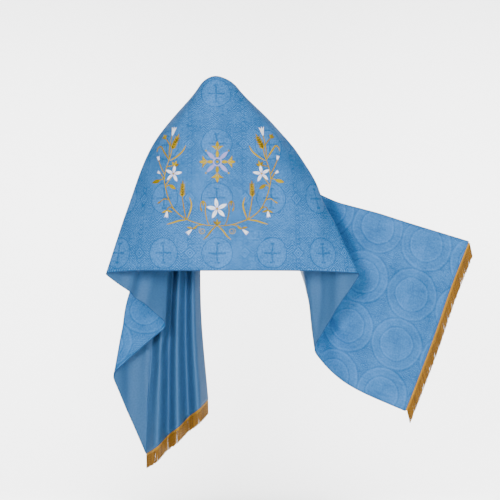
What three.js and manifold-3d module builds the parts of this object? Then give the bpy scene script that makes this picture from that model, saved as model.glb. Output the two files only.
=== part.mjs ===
// A humeral veil: one long rectangle of blue damask with a satin lining and a gold bullion fringe across
// each short end. It hangs from the neck and shoulders of its wearer, who isn't part of the model. The
// middle of its length covers the back. Its left half falls over the shoulder and down in a cascade of
// folds, and its right half makes one deep fold and is then held out, face to the back, along the arm.
//
// Millimetres. +Z is up, -Y is the side of the wearer's back, +X is the wearer's right hand. The origin
// is on the neck's axis, where the neck meets the shoulders that carry the cloth.
import * as THREE from 'three';
import Module from 'manifold-3d';

const wasm = await Module();
wasm.setup();

// Driving dimensions
const CLOTH_LENGTH = 2400;
const CLOTH_WIDTH = 610;
const BROCADE_THICKNESS = 1.4;
const LINING_THICKNESS = 1.0;
const SEAM_GAP = 0.3;
const FRINGE_GAP = 0.9;
const FRINGE_HEAD_WIDTH = 8;
const FRINGE_HEAD_THICKNESS = 2.6;
const STRAND_LENGTH = 50;
const STRAND_RADIUS = 1.1;
const STRAND_TIP_RADIUS = 0.7;
const STRANDS_PER_END = 96;
const ROWS_DOWN = 10;

const HALF = CLOTH_LENGTH / 2;
const WIDE = CLOTH_WIDTH;
const SOFT = 0.5;
const CORNER = 0;

// Shares of the way to the next line: where bends are sampled, a short step for directions, and how far
// the seams and the fringe heads stop short of their ends
const SOFT_SAMPLES = [-0.33, 0, 0.33];
const FOLD_SAMPLES = [-1, -0.33, 0.33, 1];
const SHORT_STEP = 0.01;
const SEAM_SHIFT = 0.002;
const HEAD_INSET = 0.02;

// Every row is one line of the drape, from the cloth's top edge at the neck to its border. The lines run in
// order from the right end's top corner, round the back, to the left end's top corner.
// from: where it starts on the top edge of the flat cloth, measured from the middle of its length.
// to: where it ends on the flat cloth's border, from the middle and down from the top edge.
// bend: the share of the way to each neighbour that rounds the cloth off here, from a sharp fold to SOFT.
// A CORNER of the flat cloth is sharp at the border alone.
// neck, shoulder, waist and border: where the line is at its start, its thirds and its end.
const LINES = [
  { name: 'right_top_edge', from: 342, to: [HALF, 0], bend: SOFT,
    neck: [198, 113, -84], shoulder: [310, 170, -245], waist: [560, 158, -334], border: [832, 150, -419] },
  { name: 'right_end_upper', from: 312, to: [HALF, 0.27 * WIDE], bend: SOFT,
    neck: [172, 112, -66], shoulder: [276, 192, -310], waist: [506, 168, -437], border: [772, 168, -576] },
  { name: 'right_end_middle', from: 283, to: [HALF, 0.54 * WIDE], bend: SOFT,
    neck: [148, 108, -48], shoulder: [248, 200, -356], waist: [462, 160, -532], border: [718, 142, -728] },
  { name: 'right_end_lower', from: 258, to: [HALF, 0.79 * WIDE], bend: SOFT,
    neck: [129, 101, -31], shoulder: [228, 196, -388], waist: [424, 172, -624], border: [668, 164, -868] },
  { name: 'right_corner', from: 236, to: [HALF, WIDE], bend: CORNER,
    neck: [114, 91, -15], shoulder: [212, 178, -388], waist: [394, 176, -692], border: [621, 150, -982] },
  { name: 'right_hem', from: 215, to: [1006, WIDE], bend: SOFT,
    neck: [102, 79, 0], shoulder: [204, 150, -330], waist: [326, 196, -646], border: [448, 184, -911] },
  { name: 'right_fold_out', from: 196, to: [887, WIDE], bend: SOFT,
    neck: [93, 66, 14], shoulder: [192, 114, -276], waist: [298, 130, -600], border: [362, 140, -842] },
  { name: 'right_fold', from: 178, to: [785, WIDE], bend: 0.36,
    neck: [87, 53, 28], shoulder: [188, 74, -232], waist: [296, 70, -548], border: [311, 92, -770] },
  { name: 'right_fold_in', from: 160, to: [700, WIDE], bend: SOFT,
    neck: [83, 41, 39], shoulder: [196, 50, -196], waist: [306, 44, -478], border: [350, 56, -700] },
  { name: 'right_pleat', from: 140, to: [587, WIDE], bend: SOFT,
    neck: [78, 25, 51], shoulder: [216, 36, -154], waist: [330, 28, -392], border: [408, 12, -604] },
  { name: 'right_arm', from: 115, to: [477, WIDE], bend: 0.14,
    neck: [72, 4, 62], shoulder: [242, 12, -108], waist: [361, 0, -318], border: [457, -36, -521] },
  { name: 'back_right_side', from: 76, to: [335, WIDE], bend: SOFT,
    neck: [56, -26, 82], shoulder: [186, -70, -92], waist: [280, -94, -304], border: [330, -104, -512] },
  { name: 'back_right', from: 38, to: [170, WIDE], bend: SOFT,
    neck: [30, -50, 97], shoulder: [98, -114, -92], waist: [143, -146, -300], border: [170, -154, -510] },
  { name: 'back_middle', from: 0, to: [0, WIDE], bend: SOFT,
    neck: [-6, -61, 108], shoulder: [-2, -130, -92], waist: [-1, -162, -300], border: [0, -172, -510] },
  { name: 'back_left', from: -38, to: [-148, WIDE], bend: SOFT,
    neck: [-36, -50, 97], shoulder: [-90, -112, -90], waist: [-127, -144, -300], border: [-148, -154, -510] },
  { name: 'back_left_side', from: -76, to: [-273, WIDE], bend: SOFT,
    neck: [-54, -26, 83], shoulder: [-160, -66, -90], waist: [-224, -90, -304], border: [-264, -98, -510] },
  { name: 'left_arm', from: -113, to: [-380, WIDE], bend: 0.14,
    neck: [-67, 4, 65], shoulder: [-211, 6, -106], waist: [-295, -6, -314], border: [-362, -40, -520] },
  { name: 'left_pleat', from: -138, to: [-517, WIDE], bend: SOFT,
    neck: [-72, 26, 50], shoulder: [-178, 60, -152], waist: [-226, 64, -378], border: [-268, 34, -598] },
  { name: 'left_fold', from: -160, to: [-655, WIDE], bend: 0.25,
    neck: [-75, 44, 36], shoulder: [-142, 98, -196], waist: [-152, 134, -430], border: [-162, 96, -692] },
  { name: 'left_cascade', from: -182, to: [-785, WIDE], bend: SOFT,
    neck: [-77, 60, 20], shoulder: [-168, 126, -232], waist: [-222, 160, -500], border: [-258, 134, -770] },
  { name: 'left_turn', from: -203, to: [-915, WIDE], bend: 0.16,
    neck: [-78, 74, 4], shoulder: [-196, 148, -266], waist: [-298, 176, -566], border: [-357, 166, -862] },
  { name: 'left_fall', from: -224, to: [-1058, WIDE], bend: SOFT,
    neck: [-78, 87, -12], shoulder: [-190, 176, -300], waist: [-257, 214, -642], border: [-306, 208, -994] },
  { name: 'left_corner', from: -244, to: [-HALF, WIDE], bend: CORNER,
    neck: [-77, 99, -28], shoulder: [-174, 192, -330], waist: [-218, 216, -718], border: [-246, 210, -1134] },
  { name: 'left_flute_1', from: -264, to: [-HALF, 0.83 * WIDE], bend: 0.4,
    neck: [-75, 109, -45], shoulder: [-154, 160, -338], waist: [-190, 160, -706], border: [-206, 132, -1102] },
  { name: 'left_flute_2', from: -283, to: [-HALF, 0.66 * WIDE], bend: 0.4,
    neck: [-73, 118, -62], shoulder: [-136, 202, -346], waist: [-166, 230, -694], border: [-172, 226, -1070] },
  { name: 'left_flute_3', from: -302, to: [-HALF, 0.5 * WIDE], bend: 0.4,
    neck: [-70, 126, -79], shoulder: [-118, 164, -352], waist: [-140, 166, -684], border: [-138, 138, -1040] },
  { name: 'left_flute_4', from: -321, to: [-HALF, 0.33 * WIDE], bend: 0.4,
    neck: [-67, 133, -96], shoulder: [-100, 206, -358], waist: [-114, 234, -676], border: [-104, 230, -1010] },
  { name: 'left_flute_5', from: -339, to: [-HALF, 0.16 * WIDE], bend: 0.4,
    neck: [-64, 139, -112], shoulder: [-82, 168, -362], waist: [-88, 170, -668], border: [-70, 142, -980] },
  { name: 'left_top_edge', from: -356, to: [-HALF, 0], bend: SOFT,
    neck: [-60, 144, -128], shoulder: [-64, 208, -368], waist: [-62, 228, -662], border: [-38, 228, -952] },
];

// The stretches of the cloth that show as separate falls, from the line that each starts at to the line
// that it ends at. The cloth runs on from one to the next, with a seam gap halfway to the line after.
const STRETCHES = [
  { name: 'right_end', first: 'right_top_edge', last: 'right_fold_out' },
  { name: 'right_pleat', first: 'right_fold', last: 'right_pleat' },
  { name: 'back', first: 'right_arm', last: 'left_arm' },
  { name: 'left_pleat', first: 'left_pleat', last: 'left_fold' },
  { name: 'left_cascade', first: 'left_cascade', last: 'left_turn' },
  { name: 'left_end', first: 'left_fall', last: 'left_top_edge' },
];

const BROCADE = new THREE.MeshStandardMaterial({ color: '#6F9EC8', roughness: 0.62, metalness: 0 });
const SATIN = new THREE.MeshStandardMaterial({ color: '#5C93C0', roughness: 0.34, metalness: 0 });
const BULLION = new THREE.MeshStandardMaterial({ color: '#B98420', roughness: 0.45, metalness: 0.25 });

// The drape as a surface: sections across the lines at a share t of the way from the neck to the border
const curves = LINES.map((line) => new THREE.CatmullRomCurve3(
  [line.neck, line.shoulder, line.waist, line.border].map((point) => new THREE.Vector3(...point)),
));

function lineNumber(name) {
  return LINES.findIndex((line) => line.name === name);
}

// A place between the control points i and i + 1 of a section that rounds each control point off. The
// place is counted in control points: whole numbers are the middles of the bends.
function onSection(controls, place, t) {
  const last = controls.length - 1;
  const nearest = Math.min(Math.max(Math.round(place), 0), last);
  if (nearest === 0 || nearest === last) {
    const neighbour = nearest === 0 ? 1 : last - 1;
    return controls[nearest].clone().lerp(controls[neighbour], Math.abs(place - nearest));
  }
  const bend = LINES[nearest].bend;
  const reach = bend === CORNER ? SOFT * (1 - t) : bend;
  const offset = place - nearest;
  const before = controls[nearest].clone().lerp(controls[nearest - 1], reach);
  const after = controls[nearest].clone().lerp(controls[nearest + 1], reach);
  if (offset <= -reach) {
    return controls[nearest].clone().lerp(controls[nearest - 1], -offset);
  }
  if (offset >= reach) {
    return controls[nearest].clone().lerp(controls[nearest + 1], offset);
  }
  const share = (offset + reach) / (2 * reach);
  const first = before.lerp(controls[nearest], share);
  const second = controls[nearest].clone().lerp(after, share);
  return first.lerp(second, share);
}

function drape(place, t) {
  return onSection(curves.map((curve) => curve.getPoint(t)), place, t);
}

// The direction that the brocade faces, from two short steps on the drape
function facing(place, t) {
  const after = Math.min(place + SHORT_STEP, LINES.length - 1);
  const before = Math.max(place - SHORT_STEP, 0);
  const along = drape(after, t).sub(drape(before, t));
  const down = drape(place, Math.min(t + SHORT_STEP, 1)).sub(drape(place, Math.max(t - SHORT_STEP, 0)));
  return along.cross(down).normalize();
}

// The places where the sections are sampled, closer together in the bends
function placesBetween(start, end) {
  const places = [start];
  for (let number = Math.ceil(start); number <= Math.floor(end); number += 1) {
    const reach = LINES[number].bend;
    const soft = reach === SOFT || reach === CORNER;
    const offsets = soft ? SOFT_SAMPLES : FOLD_SAMPLES.map((share) => share * reach);
    places.push(...offsets.map((offset) => number + offset));
  }
  places.push(end);
  const inside = places.filter((place) => place >= start && place <= end);
  return inside.filter((place, i) => i === 0 || place - inside[i - 1] > SHORT_STEP);
}

// A wall with its faces at the distances inner and outer from the drape, on the brocade's side if positive
function wall(places, inner, outer) {
  const positions = [];
  const rows = ROWS_DOWN + 1;
  for (const depth of [outer, inner]) {
    for (const place of places) {
      for (let row = 0; row < rows; row += 1) {
        const t = row / ROWS_DOWN;
        const point = drape(place, t).addScaledVector(facing(place, t), depth);
        positions.push(point.x, point.y, point.z);
      }
    }
  }
  const at = (side, column, row) => (side * places.length + column) * rows + row;
  const triangles = [];
  const quad = (a, b, c, d) => triangles.push(a, b, c, a, c, d);
  const lastColumn = places.length - 1;
  for (let column = 0; column < lastColumn; column += 1) {
    for (let row = 0; row < ROWS_DOWN; row += 1) {
      quad(at(0, column, row), at(0, column + 1, row), at(0, column + 1, row + 1), at(0, column, row + 1));
      quad(at(1, column, row), at(1, column, row + 1), at(1, column + 1, row + 1), at(1, column + 1, row));
    }
    quad(at(0, column, 0), at(1, column, 0), at(1, column + 1, 0), at(0, column + 1, 0));
    quad(at(0, column, ROWS_DOWN), at(0, column + 1, ROWS_DOWN),
      at(1, column + 1, ROWS_DOWN), at(1, column, ROWS_DOWN));
  }
  for (let row = 0; row < ROWS_DOWN; row += 1) {
    quad(at(0, 0, row), at(0, 0, row + 1), at(1, 0, row + 1), at(1, 0, row));
    quad(at(0, lastColumn, row), at(1, lastColumn, row), at(1, lastColumn, row + 1), at(0, lastColumn, row + 1));
  }
  const geometry = new THREE.BufferGeometry();
  geometry.setAttribute('position', new THREE.Float32BufferAttribute(positions, 3));
  geometry.setIndex(triangles);
  return geometry;
}

const veil = new THREE.Group();

function addPiece(name, geometry, material) {
  const piece = new THREE.Mesh(geometry, material);
  piece.name = name;
  veil.add(piece);
}

// Brocade and lining, a wall each for every stretch
for (const stretch of STRETCHES) {
  const first = lineNumber(stretch.first);
  const last = lineNumber(stretch.last);
  const start = first === 0 ? 0 : first - 0.5 + SEAM_SHIFT;
  const end = last === LINES.length - 1 ? last : last + 0.5 - SEAM_SHIFT;
  const places = placesBetween(start, end);
  const half = SEAM_GAP / 2;
  addPiece(`brocade_${stretch.name}`, wall(places, half, half + BROCADE_THICKNESS), BROCADE);
  addPiece(`lining_${stretch.name}`, wall(places, -half - LINING_THICKNESS, -half), SATIN);
}

// Fringe: a narrow head beyond the cloth's edge, with three-sided strands that hang from it and stand apart
function borderPlaces(first, last, count) {
  const fine = Math.ceil(40 * (last - first));
  const steps = Array.from({ length: fine + 1 }, (_, i) => first + (i / fine) * (last - first));
  const lengths = [0];
  for (let i = 1; i <= fine; i += 1) {
    lengths.push(lengths[i - 1] + drape(steps[i], 1).distanceTo(drape(steps[i - 1], 1)));
  }
  return Array.from({ length: count }, (_, k) => {
    const wanted = (lengths[fine] * (k + 0.5)) / count;
    const i = lengths.findIndex((length) => length > wanted);
    const share = (wanted - lengths[i - 1]) / (lengths[i] - lengths[i - 1]);
    return steps[i - 1] + share * (steps[i] - steps[i - 1]);
  });
}

// The head's directions at a place: away from the cloth in its own surface, and out of its brocade side
function headDirections(place) {
  const normal = facing(place, 1);
  const edge = drape(place + SHORT_STEP, 1).sub(drape(place - SHORT_STEP, 1));
  return { normal, away: normal.clone().cross(edge).normalize() };
}

function solidOf(positions, triangles) {
  return new wasm.Manifold(new wasm.Mesh({
    numProp: 3,
    vertProperties: new Float32Array(positions),
    triVerts: new Uint32Array(triangles),
  }));
}

function fringeHead(places) {
  const half = FRINGE_HEAD_THICKNESS / 2;
  const far = FRINGE_GAP + FRINGE_HEAD_WIDTH;
  const corners = [[FRINGE_GAP, -half], [far, -half], [far, half], [FRINGE_GAP, half]];
  const positions = [];
  for (const place of places) {
    const { normal, away } = headDirections(place);
    for (const [out, depth] of corners) {
      const point = drape(place, 1).addScaledVector(away, out).addScaledVector(normal, depth);
      positions.push(point.x, point.y, point.z);
    }
  }
  const triangles = [];
  for (let i = 0; i < places.length - 1; i += 1) {
    for (let side = 0; side < 4; side += 1) {
      const a = 4 * i + side;
      const b = 4 * i + ((side + 1) % 4);
      triangles.push(a, b, b + 4, a, b + 4, a + 4);
    }
  }
  const end = 4 * (places.length - 1);
  triangles.push(0, 3, 2, 0, 2, 1, end, end + 1, end + 2, end, end + 2, end + 3);
  return solidOf(positions, triangles);
}

function strand(root, direction) {
  const tip = root.clone().addScaledVector(direction, STRAND_LENGTH);
  const side = new THREE.Vector3(0, 1, 0).cross(direction).normalize();
  const front = direction.clone().cross(side);
  const positions = [];
  for (const [centre, radius] of [[root, STRAND_RADIUS], [tip, STRAND_TIP_RADIUS]]) {
    for (let k = 0; k < 3; k += 1) {
      const angle = (2 * Math.PI * k) / 3;
      const point = centre.clone().addScaledVector(side, radius * Math.cos(angle));
      point.addScaledVector(front, radius * Math.sin(angle));
      positions.push(point.x, point.y, point.z);
    }
  }
  const triangles = [0, 2, 1, 3, 4, 5];
  for (let k = 0; k < 3; k += 1) {
    const next = (k + 1) % 3;
    triangles.push(k, next, next + 3, k, next + 3, k + 3);
  }
  return solidOf(positions, triangles);
}

function fringe(firstName, lastName, hang) {
  const first = lineNumber(firstName) + HEAD_INSET;
  const last = lineNumber(lastName) - HEAD_INSET;
  const direction = new THREE.Vector3(...hang).normalize();
  const parts = [fringeHead(placesBetween(first, last))];
  for (const place of borderPlaces(first, last, STRANDS_PER_END)) {
    const middle = FRINGE_GAP + FRINGE_HEAD_WIDTH / 2;
    parts.push(strand(drape(place, 1).addScaledVector(headDirections(place).away, middle), direction));
  }
  const joined = wasm.Manifold.union(parts).getMesh();
  const geometry = new THREE.BufferGeometry();
  geometry.setAttribute('position', new THREE.Float32BufferAttribute(joined.vertProperties, 3));
  geometry.setIndex(Array.from(joined.triVerts));
  return geometry;
}

addPiece('fringe_right', fringe('right_top_edge', 'right_corner', [0.225, -0.03, -0.974]), BULLION);
addPiece('fringe_left', fringe('left_corner', 'left_top_edge', [0.02, 0, -1]), BULLION);

export default veil;
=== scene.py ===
import math
from collections import namedtuple
from functools import partial

import bpy
import numpy as np
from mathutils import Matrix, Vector


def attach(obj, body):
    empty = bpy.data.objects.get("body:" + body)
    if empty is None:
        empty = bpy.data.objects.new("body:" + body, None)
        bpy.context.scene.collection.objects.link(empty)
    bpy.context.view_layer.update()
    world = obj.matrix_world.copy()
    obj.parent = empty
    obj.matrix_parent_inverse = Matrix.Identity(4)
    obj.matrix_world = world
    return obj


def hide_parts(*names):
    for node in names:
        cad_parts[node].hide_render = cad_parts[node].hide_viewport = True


bl_info = {
    "name": "Humeral veil",
    "version": (1, 0, 0),
    "blender": (4, 5, 0),
    "location": "3D View > Sidebar > Veil",
    "description": "Dresses the solids of a draped humeral veil with its cloth, fringe and embroidery",
    "category": "Add Mesh",
}

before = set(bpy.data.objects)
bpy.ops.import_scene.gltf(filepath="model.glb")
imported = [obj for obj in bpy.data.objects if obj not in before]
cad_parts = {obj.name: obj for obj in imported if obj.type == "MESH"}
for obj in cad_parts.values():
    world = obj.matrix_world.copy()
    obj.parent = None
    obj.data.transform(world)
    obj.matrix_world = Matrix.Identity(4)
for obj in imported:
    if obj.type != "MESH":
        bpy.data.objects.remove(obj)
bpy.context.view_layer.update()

MM = 0.001
BODY = "root"


def linear(hex_colour):
    """An sRGB hex colour as linear red, green and blue."""
    shares = [int(hex_colour[i:i + 2], 16) / 255 for i in (1, 3, 5)]
    return tuple(s / 12.92 if s <= 0.04045 else ((s + 0.055) / 1.055) ** 2.4 for s in shares)


# Sizes and colours that a user would change

class VeilSizes(bpy.types.PropertyGroup):
    brocade_thickness: bpy.props.FloatProperty(
        name="Brocade thickness", description="Thickness of the damask", default=1.2 * MM,
        min=0.6 * MM, max=1.4 * MM, unit="LENGTH")
    lining_thickness: bpy.props.FloatProperty(
        name="Lining thickness", description="Thickness of the satin lining", default=0.8 * MM,
        min=0.4 * MM, max=1.0 * MM, unit="LENGTH")
    crease_share: bpy.props.FloatProperty(
        name="Crease depth", description="Depth of the creases as a share of their own depths", default=1,
        min=0, max=1.5, subtype="FACTOR")
    fringe_length: bpy.props.FloatProperty(
        name="Fringe length", description="How far the bullion cords hang below the braid", default=44 * MM,
        min=20 * MM, max=46 * MM, unit="LENGTH")
    fringe_cords: bpy.props.IntProperty(
        name="Fringe cords", description="Number of bullion cords on each short end", default=300,
        min=60, max=320)
    pattern_repeat: bpy.props.FloatProperty(
        name="Pattern repeat", description="Distance between the damask's roundels", default=172 * MM,
        min=100 * MM, max=250 * MM, unit="LENGTH")


class VeilColours(bpy.types.PropertyGroup):
    brocade_light: bpy.props.FloatVectorProperty(
        name="Brocade figure", description="Colour of the damask's lighter figures", subtype="COLOR",
        size=3, min=0, max=1, default=linear("#4583C4"))
    brocade_dark: bpy.props.FloatVectorProperty(
        name="Brocade ground", description="Colour of the damask's darker ground", subtype="COLOR",
        size=3, min=0, max=1, default=linear("#1E588E"))
    lining: bpy.props.FloatVectorProperty(
        name="Lining", description="Colour of the satin lining", subtype="COLOR",
        size=3, min=0, max=1, default=linear("#38638F"))
    bullion: bpy.props.FloatVectorProperty(
        name="Bullion", description="Colour of the gilt fringe", subtype="COLOR",
        size=3, min=0, max=1, default=linear("#9C6A00"))
    # Painted shade: the rolled edge is coloured darker than the cloth, to draw the thin dark shadow line
    # along the veil's edges
    edge: bpy.props.FloatVectorProperty(
        name="Edge", description="Colour of the rolled edge", subtype="COLOR",
        size=3, min=0, max=1, default=linear("#215081"))
    gold_thread: bpy.props.FloatVectorProperty(
        name="Gold thread", description="Colour of the embroidery's gold thread", subtype="COLOR",
        size=3, min=0, max=1, default=linear("#AD9300"))
    # Painted shade: the dark thread under and round the gold stands for the shade round its raised stitches
    outline_shade_thread: bpy.props.FloatVectorProperty(
        name="Outline thread", description="Colour of the thread under and round the gold leaves",
        subtype="COLOR", size=3, min=0, max=1, default=linear("#5A3C00"))
    white_thread: bpy.props.FloatVectorProperty(
        name="White thread", description="Colour of the embroidery's white thread", subtype="COLOR",
        size=3, min=0, max=1, default=linear("#FAFBFF"))
    # Also the colour of the white petals' outlines, which are painted shade
    lilac_thread: bpy.props.FloatVectorProperty(
        name="Lilac thread", description="Colour of the embroidery's lilac silver thread", subtype="COLOR",
        size=3, min=0, max=1, default=linear("#9A96D2"))


# The drape: the same lines, bends and sections that shape the solids

LONG = 2400
WIDE = 610
HALF = LONG / 2
SOFT = 0.5
CORNER = 0
SEGMENTS = 3
SHORT_STEP = 0.01
TINY = 1e-6
CREASE_FADE = 0.8

# name: the line of the drape. start: where it starts on the flat cloth's top edge, from the middle of its
# length. end: where it ends on the flat cloth's border, from the middle and down from the top edge. bend:
# the share of the way to each neighbour that rounds the cloth off there. neck, shoulder, waist, border:
# where the line is at its start, its thirds and its end.
Line = namedtuple("Line", "name start end bend neck shoulder waist border")
LINES = [
    Line("right_top_edge", 342, (HALF, 0), SOFT,
         (198, 113, -84), (310, 170, -245), (560, 158, -334), (832, 150, -419)),
    Line("right_end_upper", 312, (HALF, 0.27 * WIDE), SOFT,
         (172, 112, -66), (276, 192, -310), (506, 168, -437), (772, 168, -576)),
    Line("right_end_middle", 283, (HALF, 0.54 * WIDE), SOFT,
         (148, 108, -48), (248, 200, -356), (462, 160, -532), (718, 142, -728)),
    Line("right_end_lower", 258, (HALF, 0.79 * WIDE), SOFT,
         (129, 101, -31), (228, 196, -388), (424, 172, -624), (668, 164, -868)),
    Line("right_corner", 236, (HALF, WIDE), CORNER,
         (114, 91, -15), (212, 178, -388), (394, 176, -692), (621, 150, -982)),
    Line("right_hem", 215, (1006, WIDE), SOFT,
         (102, 79, 0), (204, 150, -330), (326, 196, -646), (448, 184, -911)),
    Line("right_fold_out", 196, (887, WIDE), SOFT,
         (93, 66, 14), (192, 114, -276), (298, 130, -600), (362, 140, -842)),
    Line("right_fold", 178, (785, WIDE), 0.36,
         (87, 53, 28), (188, 74, -232), (296, 70, -548), (311, 92, -770)),
    Line("right_fold_in", 160, (700, WIDE), SOFT,
         (83, 41, 39), (196, 50, -196), (306, 44, -478), (350, 56, -700)),
    Line("right_pleat", 140, (587, WIDE), SOFT,
         (78, 25, 51), (216, 36, -154), (330, 28, -392), (408, 12, -604)),
    Line("right_arm", 115, (477, WIDE), 0.14,
         (72, 4, 62), (242, 12, -108), (361, 0, -318), (457, -36, -521)),
    Line("back_right_side", 76, (335, WIDE), SOFT,
         (56, -26, 82), (186, -70, -92), (280, -94, -304), (330, -104, -512)),
    Line("back_right", 38, (170, WIDE), SOFT,
         (30, -50, 97), (98, -114, -92), (143, -146, -300), (170, -154, -510)),
    Line("back_middle", 0, (0, WIDE), SOFT,
         (-6, -61, 108), (-2, -130, -92), (-1, -162, -300), (0, -172, -510)),
    Line("back_left", -38, (-148, WIDE), SOFT,
         (-36, -50, 97), (-90, -112, -90), (-127, -144, -300), (-148, -154, -510)),
    Line("back_left_side", -76, (-273, WIDE), SOFT,
         (-54, -26, 83), (-160, -66, -90), (-224, -90, -304), (-264, -98, -510)),
    Line("left_arm", -113, (-380, WIDE), 0.14,
         (-67, 4, 65), (-211, 6, -106), (-295, -6, -314), (-362, -40, -520)),
    Line("left_pleat", -138, (-517, WIDE), SOFT,
         (-72, 26, 50), (-178, 60, -152), (-226, 64, -378), (-268, 34, -598)),
    Line("left_fold", -160, (-655, WIDE), 0.25,
         (-75, 44, 36), (-142, 98, -196), (-152, 134, -430), (-162, 96, -692)),
    Line("left_cascade", -182, (-785, WIDE), SOFT,
         (-77, 60, 20), (-168, 126, -232), (-222, 160, -500), (-258, 134, -770)),
    Line("left_turn", -203, (-915, WIDE), 0.16,
         (-78, 74, 4), (-196, 148, -266), (-298, 176, -566), (-357, 166, -862)),
    Line("left_fall", -224, (-1058, WIDE), SOFT,
         (-78, 87, -12), (-190, 176, -300), (-257, 214, -642), (-306, 208, -994)),
    Line("left_corner", -244, (-HALF, WIDE), CORNER,
         (-77, 99, -28), (-174, 192, -330), (-218, 216, -718), (-246, 210, -1134)),
    Line("left_flute_1", -264, (-HALF, 0.83 * WIDE), 0.4,
         (-75, 109, -45), (-154, 160, -338), (-190, 160, -706), (-206, 132, -1102)),
    Line("left_flute_2", -283, (-HALF, 0.66 * WIDE), 0.4,
         (-73, 118, -62), (-136, 202, -346), (-166, 230, -694), (-172, 226, -1070)),
    Line("left_flute_3", -302, (-HALF, 0.5 * WIDE), 0.4,
         (-70, 126, -79), (-118, 164, -352), (-140, 166, -684), (-138, 138, -1040)),
    Line("left_flute_4", -321, (-HALF, 0.33 * WIDE), 0.4,
         (-67, 133, -96), (-100, 206, -358), (-114, 234, -676), (-104, 230, -1010)),
    Line("left_flute_5", -339, (-HALF, 0.16 * WIDE), 0.4,
         (-64, 139, -112), (-82, 168, -362), (-88, 170, -668), (-70, 142, -980)),
    Line("left_top_edge", -356, (-HALF, 0), SOFT,
         (-60, 144, -128), (-64, 208, -368), (-62, 228, -662), (-38, 228, -952)),
]
LAST = len(LINES) - 1
NUMBERS = {line.name: number for number, line in enumerate(LINES)}
BENDS = np.array([line.bend for line in LINES], float)
BENDS[[0, LAST]] = 0
FLAT_STARTS = MM * np.array([(line.start, 0) for line in LINES], float)
FLAT_ENDS = MM * np.array([line.end for line in LINES], float)
THIRDS = MM * np.array([(line.neck, line.shoulder, line.waist, line.border) for line in LINES], float)
LINE_POINTS = np.concatenate(
    [2 * THIRDS[:, :1] - THIRDS[:, 1:2], THIRDS, 2 * THIRDS[:, 3:] - THIRDS[:, 2:3]], axis=1)

# The creases: where each starts and ends on the flat cloth, how far it bows, its depth outwards (a ridge)
# or inwards (a trough) and its half width, all in millimetres, on the cloth's own length and width
Crease = namedtuple("Crease", "start end bow depth width")
CREASES = [
    Crease((420, 20), (330, 600), 24, -6, 34),
    Crease((285, 120), (300, 590), -18, 5, 30),
    Crease((200, 60), (245, 420), 12, -3, 26),
    Crease((-120, 90), (-300, 560), -22, -4, 36),
    Crease((-40, 40), (-190, 380), 14, 3, 30),
    Crease((30, 30), (90, 300), -10, -2.5, 24),
    Crease((60, 330), (150, 600), 12, 2.5, 34),
    Crease((-160, 420), (-60, 600), -8, -2, 28),
    Crease((560, 60), (1120, 150), 20, -3.5, 40),
    Crease((620, 200), (1150, 330), -24, 3.5, 46),
    Crease((700, 330), (1080, 560), 18, -4, 40),
    Crease((860, 240), (960, 560), 10, 2.5, 34),
    Crease((1010, 60), (1130, 420), -14, -2.5, 36),
    Crease((-700, 200), (-800, 580), 12, -3, 22),
    Crease((-560, 120), (-610, 540), -10, 3, 24),
    Crease((-900, 180), (-1010, 560), 14, 3, 26),
    Crease((600, 260), (640, 560), 10, -3, 22),
    Crease((330, 153), (870, 695), 0, -11, 34),
    Crease((380, 352), (860, 672), 0, 8, 22),
    Crease((400, 470), (760, 695), 0, -12, 28),
    Crease((640, -50), (960, 285), 0, -10, 26),
    Crease((691, -58), (950, 216), 0, 9, 24),
    Crease((-342, 368), (-542, 712), 0, -11, 20),
    Crease((-380, 366), (-580, 710), 0, 11, 17),
    Crease((-425, 380), (-625, 730), 0, -7, 20),
    Crease((-700, 420), (-1130, 640), 0, 9, 24),
    Crease((-760, 370), (-1190, 600), 0, -9, 26),
]


def on_lines(numbers, shares):
    """Points on the lines with these numbers, at these shares of the way from the neck to the border."""
    segment = np.minimum((shares * SEGMENTS).astype(int), SEGMENTS - 1)
    way = (shares * SEGMENTS - segment)[..., None]
    p0, p1, p2, p3 = (LINE_POINTS[numbers, segment + k] for k in range(4))
    gap0, gap1, gap2 = (
        np.sqrt(np.linalg.norm(b - a, axis=-1, keepdims=True)) for a, b in ((p0, p1), (p1, p2), (p2, p3)))
    leave = ((p1 - p0) / gap0 - (p2 - p0) / (gap0 + gap1) + (p2 - p1) / gap1) * gap1
    arrive = ((p2 - p1) / gap1 - (p3 - p1) / (gap1 + gap2) + (p3 - p2) / gap2) * gap1
    bent = 3 * (p2 - p1) - 2 * leave - arrive
    return p1 + way * (leave + way * (bent + way * (2 * (p1 - p2) + leave + arrive)))


def drape(places, shares):
    """Points of the smooth drape. A place counts lines and parts of the way to the next."""
    places, shares = np.broadcast_arrays(np.clip(places, 0, LAST), np.clip(shares, 0, 1))
    nearest = np.rint(places).astype(int)
    offset = (places - nearest)[..., None]
    reach = np.where(BENDS[nearest] == CORNER, SOFT * (1 - shares), BENDS[nearest])
    reach = np.where((nearest == 0) | (nearest == LAST), 0, reach)[..., None]
    reach = np.maximum(reach, TINY)
    middle = on_lines(nearest, shares)
    before = on_lines(np.maximum(nearest - 1, 0), shares)
    after = on_lines(np.minimum(nearest + 1, LAST), shares)
    straight = middle + np.abs(offset) * (np.where(offset < 0, before, after) - middle)
    way = np.clip((offset + reach) / (2 * reach), 0, 1)
    first = (before - middle) * reach * (1 - way)
    second = (after - middle) * reach * way
    bent = middle + first * (1 - way) + second * way
    return np.where(np.abs(offset) < reach, bent, straight)


def unit(vectors):
    return vectors / np.maximum(np.linalg.norm(vectors, axis=-1, keepdims=True), TINY ** 2)


def distances(points):
    """How far along a path each of its points is. The paths of a grid run along its first axis."""
    steps = np.linalg.norm(np.diff(points, axis=0), axis=-1)
    return np.concatenate([np.zeros_like(steps[:1]), np.cumsum(steps, axis=0)])


def slopes(places, shares):
    """How fast the drape's points move with the place, and with the share."""
    by_place = drape(places + SHORT_STEP, shares) - drape(places - SHORT_STEP, shares)
    by_share = drape(places, shares + SHORT_STEP) - drape(places, shares - SHORT_STEP)
    return by_place / (2 * SHORT_STEP), by_share / (2 * SHORT_STEP)


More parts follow.
